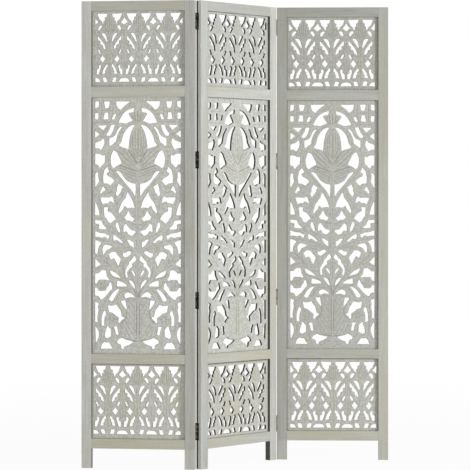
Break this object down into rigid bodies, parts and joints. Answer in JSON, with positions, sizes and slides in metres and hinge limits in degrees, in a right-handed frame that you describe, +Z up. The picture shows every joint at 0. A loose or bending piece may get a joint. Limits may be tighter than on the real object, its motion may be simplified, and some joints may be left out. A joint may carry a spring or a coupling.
{
  "type": "room divider",
  "caption": "Folding room divider of hinged wooden panels, each a frame of stiles and rails around pierced fretwork boards with a vase of flowers, in a grey wash.",
  "frame": {"origin": "on the floor, at the middle of the box round the standing divider", "axes": "+Z up, +Y away from the viewer of the picture, +X to the viewer's right"},
  "size_m": [1.102, 0.3318, 1.65],
  "materials": {
    "grey_washed_wood": "matt wash",
    "hinge_metal": "dark satin"
  },
  "bodies": {
    "left_panel": {"left_panel_left_stile": "grey_washed_wood", "left_panel_right_stile": "grey_washed_wood", "left_panel_top_rail": "grey_washed_wood", "left_panel_upper_rail": "grey_washed_wood", "left_panel_lower_rail": "grey_washed_wood", "left_panel_bottom_rail": "grey_washed_wood", "left_panel_top_fretwork": "grey_washed_wood", "left_panel_main_fretwork": "grey_washed_wood", "left_panel_bottom_fretwork": "grey_washed_wood", "left_fold_upper_knuckle_leaves": "hinge_metal"},
    "middle_panel": {"middle_panel_left_stile": "grey_washed_wood", "middle_panel_right_stile": "grey_washed_wood", "middle_panel_top_rail": "grey_washed_wood", "middle_panel_upper_rail": "grey_washed_wood", "middle_panel_lower_rail": "grey_washed_wood", "middle_panel_bottom_rail": "grey_washed_wood", "middle_panel_top_fretwork": "grey_washed_wood", "middle_panel_main_fretwork": "grey_washed_wood", "middle_panel_bottom_fretwork": "grey_washed_wood", "left_fold_lower_knuckle_leaves": "hinge_metal", "right_fold_lower_knuckle_leaves": "hinge_metal"},
    "right_panel": {"right_panel_left_stile": "grey_washed_wood", "right_panel_right_stile": "grey_washed_wood", "right_panel_top_rail": "grey_washed_wood", "right_panel_upper_rail": "grey_washed_wood", "right_panel_lower_rail": "grey_washed_wood", "right_panel_bottom_rail": "grey_washed_wood", "right_panel_top_fretwork": "grey_washed_wood", "right_panel_main_fretwork": "grey_washed_wood", "right_panel_bottom_fretwork": "grey_washed_wood", "right_fold_upper_knuckle_leaves": "hinge_metal"}
  },
  "joints": [
    {"name": "left_fold", "type": "hinge", "parent": "middle_panel", "child": "left_panel", "pos_m": [-0.14576, -0.14262, 0], "axis": [0, 0, 1], "range_deg": [-124.5, 55.5]},
    {"name": "right_fold", "type": "hinge", "parent": "middle_panel", "child": "right_panel", "pos_m": [0.14477, 0.14238, 0], "axis": [0, 0, 1], "range_deg": [-129.8, 50.2]}
  ]
}
